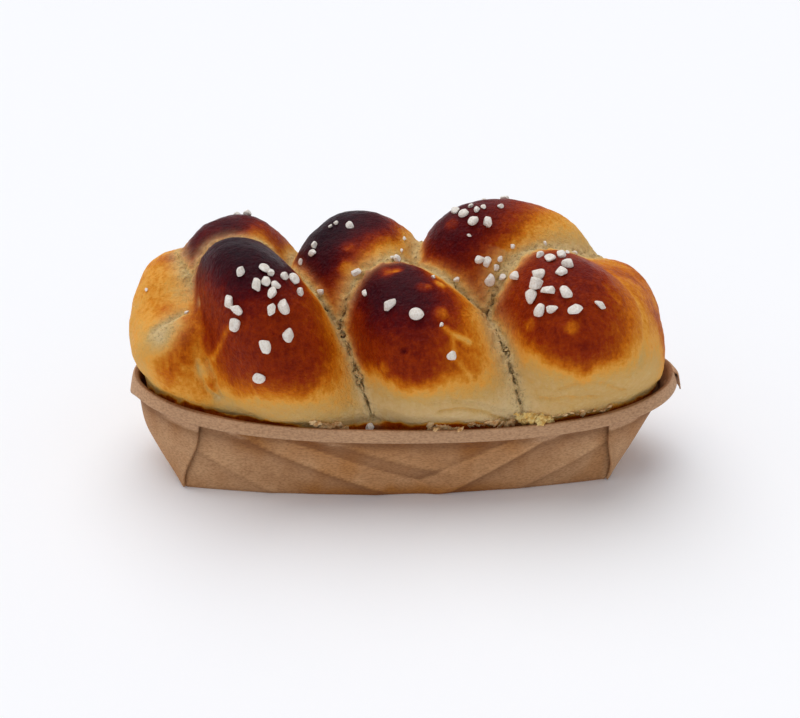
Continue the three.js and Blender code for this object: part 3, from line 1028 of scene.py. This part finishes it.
# %% Layers of paper
FLOOR_SHARES = (0.0, 0.45, 0.8)
WALL_ROWS = 30
WALL_COLUMNS = 600
EDGE_ROUND = 0.8
TUCK = 0.6
ROW_SPACING = 1.25
UNDER_FOLD = 0.6
WAVE = dict(height=0.25, count=4, turn=40)
CREASE_FLANK = 0.5
LOAF_MIDDLE = Vector((0, 0, 20))


def paper_grid(columns, rows):
    """A flat grid whose corners carry how far round and how far up the sheet they are, from 0 to 1."""
    bm = bmesh.new()
    bmesh.ops.create_grid(bm, x_segments=columns, y_segments=rows, size=1)
    flat = corners_of(bm)
    return bm, (flat[:, 0] + 1) / 2, (flat[:, 1] + 1) / 2


def thicken(bm, thickness):
    """Extrudes a sheet inwards from its outer face, so that it closes with that thickness."""
    bmesh.ops.remove_doubles(bm, verts=bm.verts, dist=0.01)
    bmesh.ops.recalc_face_normals(bm, faces=bm.faces)
    bm.normal_update()
    outwards = sum(v.normal.dot(v.co - LOAF_MIDDLE) for v in bm.verts) > 0
    inwards = bm.verts.layers.float_vector.new("inwards")
    for vertex in bm.verts:
        vertex[inwards] = vertex.normal * (-thickness if outwards else thickness)
    made = bmesh.ops.extrude_face_region(bm, geom=bm.faces[:], use_keep_orig=True)["geom"]
    for vertex in (item for item in made if isinstance(item, bmesh.types.BMVert)):
        vertex.co += vertex[inwards]
    bmesh.ops.recalc_face_normals(bm, faces=bm.faces)


WALL_CREASES = (
    dict(start=(-62, 0.95), end=(-8, 0.1), height=1.3, wide=2.6),
    dict(start=(-50, 0.95), end=(6, 0.2), height=-0.9, wide=2.2),
    dict(start=(-36, 0.95), end=(14, 0.35), height=0.9, wide=2.4),
    dict(start=(-66, 0.5), end=(-44, 0.05), height=0.7, wide=2.0),
    dict(start=(52, 0.95), end=(16, 0.05), height=1.3, wide=2.6),
    dict(start=(40, 0.9), end=(6, 0.25), height=-0.8, wide=2.2),
    dict(start=(66, 0.6), end=(42, 0.1), height=0.8, wide=2.0),
)


def crease_height(points, side):
    """How far the creases stand out, and how much their sides face the light, at points.

    The back's creases are those of the front, turned round."""
    on_wall = np.stack([np.where(side < 0, points[:, 0], -points[:, 0]), points[:, 2]], -1)
    height, facing = np.zeros(len(points)), np.zeros(len(points))
    for crease in WALL_CREASES:
        ends = np.array([crease["start"], crease["end"]], float)
        start, end = ends * (1, RIM_HEIGHT_MIDDLE)
        share = crease["height"] * np.exp(-to_line(on_wall, (start, end)) / crease["wide"])
        along = (end - start) / np.linalg.norm(end - start)
        across = (on_wall - start) @ np.array([-along[1], along[0]]) * np.sign(along[0])
        height += share
        # facing becomes painted shading on the paper: a crease's flank turned to the light is painted
        # lighter, the other darker.
        facing += share * np.clip(across / CREASE_FLANK, -1, 1)
    return height, facing


def ripple(angle, share, x):
    """How far the wall's paper wrinkles in and out, by angle, by share of its height and by x."""
    turn = np.degrees(angle) * WAVE["count"] + WAVE["turn"]
    slow = WAVE["height"] * np.sin(np.radians(turn)) * smooth(share, 0.05, 0.4)
    on_wall = np.stack([x, np.zeros_like(x), share * RIM_HEIGHT_MIDDLE], -1)
    slow = slow + crease_height(on_wall, np.sin(angle))[0]
    return slow * (1 - smooth(share, 0.8, 1.0)) * smooth(from_end(angle), 45, 55)


def wall_sheet():
    rows = len(FLOOR_SHARES) + WALL_ROWS
    bm, around, up = paper_grid(WALL_COLUMNS, rows)
    angle = around * 2 * np.pi
    top = rim_height(rim_outline(angle)[:, 0])
    row = np.rint(up * rows)
    on_floor = row < len(FLOOR_SHARES)
    share = np.clip((row - len(FLOOR_SHARES)) / WALL_ROWS, 0, 1) ** ROW_SPACING
    height = np.where(on_floor, 0.0, share * (top - UNDER_FOLD))
    rounding = TUCK * (1 - smooth(height, 0, EDGE_ROUND * 2))
    places = wall_spot(angle, height, ripple(angle, share, rim_outline(angle)[:, 0]) - rounding)
    floor_share = np.interp(row, range(len(FLOOR_SHARES) + 1), (*FLOOR_SHARES, 1.0))
    places[:, 0] = blend(BASE_MIDDLE_X, places[:, 0], floor_share)
    places[:, 1] *= floor_share
    move_corners(bm, places)
    thicken(bm, PAPER)
    return bm


# %% [markdown]
# The rim band is the wall's own top, turned over outwards and rolled soft, with its lower edge
# standing off. It is made of two strips, one round the front and one round the back, which overlap
# at both ends of the mould. At the right the back strip's end has curled away from the front one.

# %% The rim band
BAND_ROWS = 18
BAND_PROFILE = (
    (-0.75, -5.5),
    (-0.75, -3.0),
    (-0.75, -1.0),
    (-0.6, -0.25),
    (-0.05, 0.1),
    (0.55, -0.05),
    (0.95, -0.7),
    (1.35, -2.2),
    (1.85, -4.2),
    (2.3, -BAND_HEIGHT),
)
FRONT_STRIP = (172.0, 382.0)
BACK_STRIP = (-4.0, 202.0)
COLUMNS_A_DEGREE = 1.7
LAP_LIFT = 0.7
NARROW_LAP = 0.6
LEFT_LAP = (168, 176)
LEFT_LAP_END = (184, 200)
LEFT_LAP_SINKS = 1.6
RIGHT_LAP = (18, 27)
CURL = 0.9
CURL_END = (-4, 4)
BAND_WAVES = ((0.25, 7, 0), (0.2, 11, 70))


def band_strip(first, last, lift_at):
    columns = int((last - first) * COLUMNS_A_DEGREE)
    bm, around, up = paper_grid(columns, BAND_ROWS)
    degrees = blend(first, last, around)
    angle = np.radians(degrees)
    profile = np.array(BAND_PROFILE)
    steps = np.linspace(0, 1, len(profile))
    outside = np.interp(up, steps, profile[:, 0])
    from_rim = np.interp(up, steps, profile[:, 1])
    top = rim_height(rim_outline(angle)[:, 0])
    wave = sum(tall * np.sin(np.radians(degrees * count + turn)) for tall, count, turn in BAND_WAVES)
    outer = smooth(up, 0.45, 0.7)
    outside = outside + lift_at(degrees) * blend(0.3, 1.0, outer) + wave * 0.5 * outer
    narrowed = blend(1.0, NARROW_LAP, outer * smooth(degrees, *LEFT_LAP_END))
    height = top + from_rim * narrowed + wave * 0.35
    places = wall_spot(angle, np.minimum(height, top), outside, smooth(up, 0.35, 0.5))
    places[:, 2] = height
    move_corners(bm, places)
    thicken(bm, PAPER)
    return bm


def front_lift(degrees):
    return np.zeros_like(degrees)


def back_lift(degrees):
    left = smooth(degrees, *LEFT_LAP) * (1 - LEFT_LAP_SINKS * smooth(degrees, *LEFT_LAP_END))
    right = 1 - smooth(degrees, *RIGHT_LAP)
    curl = CURL * (1 - smooth(degrees, *CURL_END))
    return LAP_LIFT * (left + right) + curl


# %% [markdown]
# The gussets are folded triangles of double paper. Each runs from under the band down to the base's
# corner, and its free edge stands a little off the long side, so that a dark pocket shows behind it.

# %% The corner gussets
GUSSET_FROM = 8.0
GUSSET_SOFT = 8.0
GUSSET_FOOT = 34.0
GUSSET_EDGE = 26.0
STAND_OFF = 0.5
POCKET = 1.5
BELLY = dict(height=0.3, at=28, width=12)
GUSSET_COLUMNS = 44
GUSSET_ROWS = 26
CORNERS = ((0, 1), (180, -1), (180, 1), (0, -1))


def gusset(end, turn):
    bm, around, up = paper_grid(GUSSET_COLUMNS, GUSSET_ROWS)
    edge_at = blend(GUSSET_FOOT, GUSSET_END, smooth(up, -0.3, 0.7))
    degrees = blend(GUSSET_FROM, edge_at, around)
    angle = np.radians(end + turn * degrees)
    top = rim_height(rim_outline(angle)[:, 0])
    height = blend(0.5, top - 2.0, up)
    edge = smooth(degrees, GUSSET_EDGE, GUSSET_END)
    stand_off = STAND_OFF + edge * (STAND_OFF + POCKET * np.sin(np.pi * np.clip(up, 0, 1) ** 0.7) ** 0.8)
    belly = smooth(up, 0.05, 0.4) * (1 - smooth(up, 0.45, 0.85))
    belly = belly * BELLY["height"] * np.exp(-(((degrees - BELLY["at"]) / BELLY["width"]) ** 2))
    stand_off = stand_off * smooth(degrees, GUSSET_FROM, GUSSET_FROM + GUSSET_SOFT) + belly
    move_corners(bm, wall_spot(angle, height, stand_off))
    thicken(bm, 2 * PAPER)
    return bm


# %% Join the layers into one mould
def joined(parts):
    """One mesh of several bmeshes, each of which is freed."""
    whole = bmesh.new()
    for bm in parts:
        part = bpy.data.meshes.new("layer")
        bm.to_mesh(part)
        bm.free()
        whole.from_mesh(part)
        bpy.data.meshes.remove(part)
    return whole


layers = [wall_sheet(), band_strip(*FRONT_STRIP, front_lift), band_strip(*BACK_STRIP, back_lift)]
layers += [gusset(end, turn) for end, turn in CORNERS]
mould = finish_piece("paper_mould", joined(layers), paper, ("paper_case",))

# %% [markdown]
# Butter shows most under the rim, in the middle of the long sides and along the foot. The creases'
# flanks and the wall just under the band carry painted shading, kept in the fold attribute.

# %% Grease, rim and painted shading as attributes
UNDER_BAND_SHADE = 1.3
UNDER_BAND_FADE = 2.2
BAND_EDGE = 0.3
BAND_STANDS_OFF = (2.6, 3.2)
GREASE = {"streaks": 0.4, "under rim": 0.5, "middle": 0.3, "foot": 0.8}
GREASE_PATCH = 9.0
GREASE_STRETCH = np.array([1, 1, 0.5])
GREASY_FROM = 0.4
mould_points = mesh_corners(mould.data) / MM
mould_top = rim_height(mould_points[:, 0])
share_up = mould_points[:, 2] / mould_top
from_middle = np.abs(mould_points[:, 0])
streaky = patches(mould_points * GREASE_STRETCH, GREASE_PATCH, 8)
under_rim = smooth(share_up, 0.45, 0.8) * smooth(streaky, -0.6, 0.5)
along_foot = (1 - smooth(share_up, 0.0, 0.25)) * smooth(45 - from_middle, 0, 25)
grease = GREASE["streaks"] * smooth(streaky, 0.0, 0.9) + GREASE["under rim"] * under_rim
grease += GREASE["middle"] * (1 - smooth(from_middle, 15, 60)) + GREASE["foot"] * along_foot
wall_at = outside_room(mould_points)[0]
under_band = mould_top - BAND_HEIGHT
rim = smooth(mould_points[:, 2], under_band - BAND_EDGE, under_band + BAND_EDGE)
rim *= smooth(wall_at, *BAND_STANDS_OFF)
# Painted shading: fold is lighter or darker on crease flanks by how they face the light, and a painted
# shadow runs just under the band's lower edge.
fold = crease_height(mould_points, mould_points[:, 1])[1]
fold -= UNDER_BAND_SHADE * np.exp(-np.maximum(under_band - mould_points[:, 2], 0) / UNDER_BAND_FADE)
fold *= 1 - rim
write_attributes(mould.data, grease=np.clip(grease * (1 - rim), 0, 1), rim=rim, fold=fold)
print("grease covers", round(float((grease > GREASY_FROM).mean() * 100)), "per cent of the paper")

# %% [markdown]
# ## Pearl sugar
#
# Pearl sugar is pressed sugar broken into lumps of 3 to 5 mm, white, dull and a little see-through.
# Each nib is an icosphere with broken sides, drawn by repeatable dice. They lie in heaps, where the
# picture shows them, and a few more behind. Each is set onto the crust that a ray to it meets.

# %% Material: pressed pearl sugar
GRIT_STOPS = (0.3, 0.6)


def gritty(name, grain, colours, bump, **looks):
    """A material whose colour and surface come from the same fine grit."""
    material, shader, place = new_material(name)
    grit = noise_of(material, place, per_metre(grain), 4.0)
    colour = ramp_of(material, grit, list(zip(GRIT_STOPS, colours)))
    set_inputs(material, shader, Base_Color=colour, Normal=bump_of(material, grit, *bump), **looks)
    return material


pearl_sugar = gritty(
    "pearl sugar, pressed", 0.6, ("#DCCFBF", "#F1EAE0"), (0.5, 0.3), Roughness=0.5,
    Subsurface_Weight=0.25, Subsurface_Radius=(1.0, 0.9, 0.8), Subsurface_Scale=0.8 * MM,
)
print("made", pearl_sugar.name)

# %% Where the sugar fell
SUGAR = {
    "front left": ((241, 272, 9), (264, 269, 9), (270, 273, 8.5), (265, 282, 9.5), (256, 286, 11.5),
                   (275, 286, 8.5), (272, 294, 10.5), (284, 277, 8), (293, 280, 10.5), (299, 293, 8.5),
                   (230, 302, 12), (238, 309, 11), (271, 310, 10.5), (283, 307, 13), (236, 325, 13.5),
                   (288, 335, 11.5), (265, 346, 13), (260, 377, 11)),
    "left": ((187, 313, 4.5), (147, 290, 4)),
    "back middle": ((331, 227, 5), (336, 224, 5.5), (350, 226, 9), (315, 246, 7.5), (313, 253, 8),
                    (301, 262, 6.5), (322, 292, 8), (357, 272, 9), (404, 239, 4.5), (401, 251, 4)),
    "front middle": ((398, 260, 8.5), (392, 258, 5), (365, 293, 7.5), (390, 305, 13), (417, 314, 12.5),
                     (441, 325, 5), (451, 356, 8.5), (433, 278, 5)),
    "back right": ((456, 211, 10), (464, 214, 10), (471, 207, 6.5), (477, 211, 7.5), (484, 208, 6.5),
                   (473, 221, 10.5), (487, 223, 11), (500, 207, 6.5), (469, 236, 4), (479, 259, 8.5),
                   (487, 262, 9.5), (495, 267, 7.5), (500, 259, 5.5), (490, 280, 11), (503, 278, 7),
                   (457, 280, 6), (512, 246, 5), (545, 244, 5)),
    "front right": ((540, 256, 8.5), (550, 260, 10), (560, 256, 10), (567, 253, 5), (575, 253, 6),
                    (568, 265, 11), (561, 273, 10), (516, 277, 10), (539, 275, 12), (537, 284, 13),
                    (548, 291, 13), (532, 296, 14), (566, 293, 12), (541, 311, 12), (552, 310, 11),
                    (576, 310, 13.5), (600, 305, 10.5)),
    "rim": ((370, 426, 8.5),),
}
SUGAR_BEHIND = ((-20, 28, 10), (-16, 31, 8), (-31, 24, 11), (35, 28, 12), (39, 31, 9), (23, 28, 10),
                (27, 25, 8), (-58, 28, 11), (-54, 25, 9), (-67, 26, 9))
ABOVE = 200
NIB_RADIUS = 0.163
NIB_SINK = 0.42
NIB_SIDES = 10
NIB_EDGE = 24
NIB_ROUND = 0.9
NIB_DEPTH = 0.6
NIB_DEPTH_VARIES = 0.4
NIB_SUBDIVISIONS = 4
NIB_SHAPE = (1.12, 0.76, 0.68)
NIB_VARIES = (0.28, 0.2)
NIB_TIP = 0.6
FIRST_SEED = 41


def dice(seed):
    """A repeatable stream of numbers from 0 to 1."""
    state = seed
    while True:
        state = (state * 1664525 + 1013904223) % 2**32
        yield state / 2**32


def chipped(bm, roll):
    """Adds a unit lump with flat broken sides, which are planes in random directions."""
    verts = bmesh.ops.create_icosphere(bm, subdivisions=NIB_SUBDIVISIONS, radius=1)["verts"]
    sides = [Vector([next(roll) - 0.5 for _ in range(3)]).normalized() for _ in range(NIB_SIDES)]
    depths = [NIB_DEPTH + NIB_DEPTH_VARIES * next(roll) for _ in sides]
    for vertex in verts:
        direction = vertex.co.normalized()
        held = sum((max(side.dot(direction), 0) / depth) ** NIB_EDGE for side, depth in zip(sides, depths))
        vertex.co = direction * (held + NIB_ROUND**NIB_EDGE) ** (-1 / NIB_EDGE)
    return verts


def set_down(bm, verts, spot, normal, turned, shape, lift):
    """Moves a lump from the origin onto a surface, which it faces and is lifted from."""
    facing = normal.to_track_quat("Z", "Y").to_matrix().to_4x4()
    lifted = Matrix.Translation(spot / MM + normal * lift)
    bmesh.ops.transform(bm, matrix=lifted @ facing @ turned @ shape, verts=verts)


def first_hit(trees, start, direction):
    """The spot and the normal where a ray from a place, in millimetres, first meets a surface."""
    hits = [tree.ray_cast(start * MM, direction) for tree in trees]
    return min((hit for hit in hits if hit[0]), key=lambda hit: hit[3])[:2]


def sugar_nibs(trees):
    bm = bmesh.new()
    roll = dice(FIRST_SEED)
    seen = [(CAMERA_PLACE, sight(nib[:2]), nib[2]) for heap in SUGAR.values() for nib in heap]
    behind = [(Vector((x, y, ABOVE)), Vector((0, 0, -1)), wide) for x, y, wide in SUGAR_BEHIND]
    for start, direction, wide in seen + behind:
        spot, normal = first_hit(trees, start, direction)
        size = NIB_RADIUS * wide
        long, broad, high = NIB_SHAPE
        squash = (long, broad + NIB_VARIES[0] * next(roll), high + NIB_VARIES[1] * next(roll))
        turned = Euler((NIB_TIP * (next(roll) - 0.5), 0, 2 * math.pi * next(roll))).to_matrix().to_4x4()
        verts = chipped(bm, roll)
        shape = Matrix.Diagonal((*(size * s for s in squash), 1))
        set_down(bm, verts, spot, normal, turned, shape, size * (squash[2] - NIB_SINK))
    return bm


surfaces = [surface_tree(loaf.data), surface_tree(mould.data)]
finish_piece("sugar_nibs", sugar_nibs(surfaces), pearl_sugar, ("loaf",))

# %% [markdown]
# ## Crumbs
#
# Where the loaf rose over the mould it stuck to the paper and tore when it was moved, and left
# scraps of crumb on the rim. They are small lumps, strongly dented, and pressed together in a row.

# %% Crumbs on the rim
CRUMBS = (
    dict(first=(313, 424), last=(346, 427), count=17, size=1.0, flat=0.5),
    dict(first=(427, 428), last=(462, 429), count=15, size=0.9, flat=0.45),
    dict(first=(468, 424), last=(516, 423), count=12, size=0.8, flat=0.45),
    dict(first=(552, 417), last=(612, 407), count=12, size=0.6, flat=0.45),
)
YELLOW_CRUMBS = (
    dict(first=(524, 416), last=(548, 418), count=14, size=1.25, flat=0.9),
    dict(first=(533, 423), last=(543, 423), count=6, size=1.2, flat=0.9),
    dict(first=(516, 414), last=(526, 420), count=5, size=1.0, flat=0.8),
)
CRUMB_SPREAD = 4.0
CRUMB_LEAST = 0.6
CRUMB_VARIES = 0.8
CRUMB_LONG = 1.3
CRUMB_SINK = 0.5
CRUMB_SUBDIVISIONS = 3
CRUMB_DENT = 1.1
CRUMB_FACET = 2.4
CRUMB_FACET_HEIGHT = 0.6
ROW_SEEDS = 100
CRUMB_LOOKS = dict(Roughness=0.75, Specular_IOR_Level=0.2)


def torn_crumb(name, deep, light):
    return gritty(name, 1.6, (deep, light), (0.7, 0.4), **CRUMB_LOOKS)


def lumpy(bm, count):
    """Adds a unit lump, dented by noise that differs for each count."""
    verts = bmesh.ops.create_icosphere(bm, subdivisions=CRUMB_SUBDIVISIONS, radius=1)["verts"]
    for vertex in verts:
        direction = vertex.co.normalized()
        dent = noise.noise(direction * CRUMB_DENT + Vector((count * 3.7, 0, 0)))
        facet = noise.noise(direction * CRUMB_FACET + Vector((0, count * 5.1, 0)))
        vertex.co = direction * (1 + dent + CRUMB_FACET_HEIGHT * facet)
    return verts


def crumb_rows(trees, rows, seed):
    bm = bmesh.new()
    roll = dice(seed)
    for row, crumbs in enumerate(rows):
        for i in range(crumbs["count"]):
            share = (i + next(roll)) / crumbs["count"]
            across = blend(crumbs["first"][0], crumbs["last"][0], share)
            down = blend(crumbs["first"][1], crumbs["last"][1], share) + CRUMB_SPREAD * (next(roll) - 0.5)
            spot, normal = first_hit(trees, CAMERA_PLACE, sight((across, down)))
            size = crumbs["size"] * (CRUMB_LEAST + CRUMB_VARIES * next(roll))
            turns = Euler((next(roll) - 0.5, next(roll) - 0.5, 2 * math.pi * next(roll)))
            verts = lumpy(bm, ROW_SEEDS * row + i)
            high = size * crumbs["flat"]
            shape = Matrix.Diagonal((size * CRUMB_LONG, size, high, 1))
            set_down(bm, verts, spot, normal, turns.to_matrix().to_4x4(), shape, high * CRUMB_SINK)
    return bm


dry_crumb = torn_crumb("torn brioche crumb", "#CE9150", "#F4D09A")
soft_crumb = torn_crumb("torn brioche crumb, yellow with egg", "#DFA53C", "#F6DC96")
finish_piece("crumbs", crumb_rows(surfaces, CRUMBS, FIRST_SEED + 1), dry_crumb)
finish_piece("yellow_crumbs", crumb_rows(surfaces, YELLOW_CRUMBS, FIRST_SEED + 2), soft_crumb)

# %% [markdown]
# ## Floor and light
#
# The loaf stands on a white table in soft light from above and behind, which gives the dark caps
# their pale sheen and leaves the front in open shade. A wide window and an even sky do that, with two
# weaker lights: what a white wall on the left and the room on the right throw back.

# %% Floor
TABLE_SHADE = "#FAFAFB"
TABLE_HALF = 6


def white_table():
    material, shader, _ = new_material("matt white table")
    set_inputs(material, shader, Base_Color=linear(TABLE_SHADE), Roughness=0.9, Specular_IOR_Level=0.1)
    bm = bmesh.new()
    bmesh.ops.create_grid(bm, x_segments=1, y_segments=1, size=TABLE_HALF)
    mesh = bpy.data.meshes.new("table")
    bm.to_mesh(mesh)
    bm.free()
    mesh.materials.append(material)
    table = bpy.data.objects.new("table", mesh)
    bpy.context.scene.collection.objects.link(table)
    return table


white_table()

# %% Light
SKY = 0.44
SKY_SHADE = "#F4F7FF"
SUN = 1.75
SUN_WIDTH = 60
SUN_TILT = (-22, -8)
WALL_LIGHT = 0.55
WALL_WIDTH = 90
WALL_TILT = (20, -68)
ROOM_LIGHT = 0.22
ROOM_TILT = (24, 68)

world = bpy.data.worlds.new("even sky")
world.use_nodes = True
background = world.node_tree.nodes["Background"]
background.inputs["Color"].default_value = linear(SKY_SHADE)
background.inputs["Strength"].default_value = SKY
bpy.context.scene.world = world


def wide_sun(name, energy, width, tilt):
    sun = bpy.data.objects.new(name, bpy.data.lights.new(name, "SUN"))
    sun.data.energy = energy
    sun.data.angle = math.radians(width)
    sun.rotation_euler = [math.radians(angle) for angle in (tilt[0], tilt[1], 0)]
    bpy.context.scene.collection.objects.link(sun)


wide_sun("window", SUN, SUN_WIDTH, SUN_TILT)
wide_sun("white wall on the left", WALL_LIGHT, WALL_WIDTH, WALL_TILT)
wide_sun("room on the right", ROOM_LIGHT, WALL_WIDTH, ROOM_TILT)
bpy.context.scene.view_settings.view_transform = "Standard"
print("the window is", SUN_WIDTH, "degrees wide")
